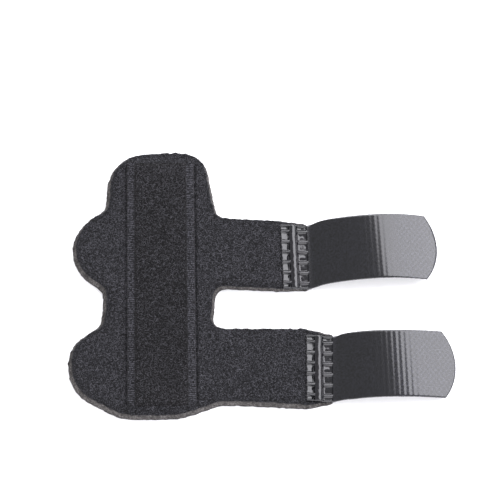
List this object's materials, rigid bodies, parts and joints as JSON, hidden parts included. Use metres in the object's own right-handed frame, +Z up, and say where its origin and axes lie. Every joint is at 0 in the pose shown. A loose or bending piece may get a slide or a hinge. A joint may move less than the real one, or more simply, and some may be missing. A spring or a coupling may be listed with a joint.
{
  "type": "finger splint",
  "caption": "Soft finger splint lying open: a foam laminate pad with a loop band along it, rounded lobes on one side and straps with arched hook tabs on the other.",
  "frame": {"origin": "On the underside of the pad, below the middle line of the loop band, about half way along it.", "axes": "+X along the straps towards the hook tabs, +Y along the band towards the head of the pad, +Z up, away from the surface it lies on."},
  "size_m": [0.1135, 0.0857, 0.0058],
  "materials": {
    "lining": "smooth dark knit lining",
    "foam": "cut edge of soft grey foam",
    "face": "dark grey brushed loop fabric",
    "band": "woven loop tape, dark pile with ribbed selvedges",
    "tab": "moulded hook sheet with a smooth satin back"
  },
  "bodies": {
    "root": {"back_lining": "lining", "foam_core": "foam", "face_fabric": "face", "loop_band": "band", "upper_hook_tab": "tab", "lower_hook_tab": "tab"}
  },
  "joints": []
}
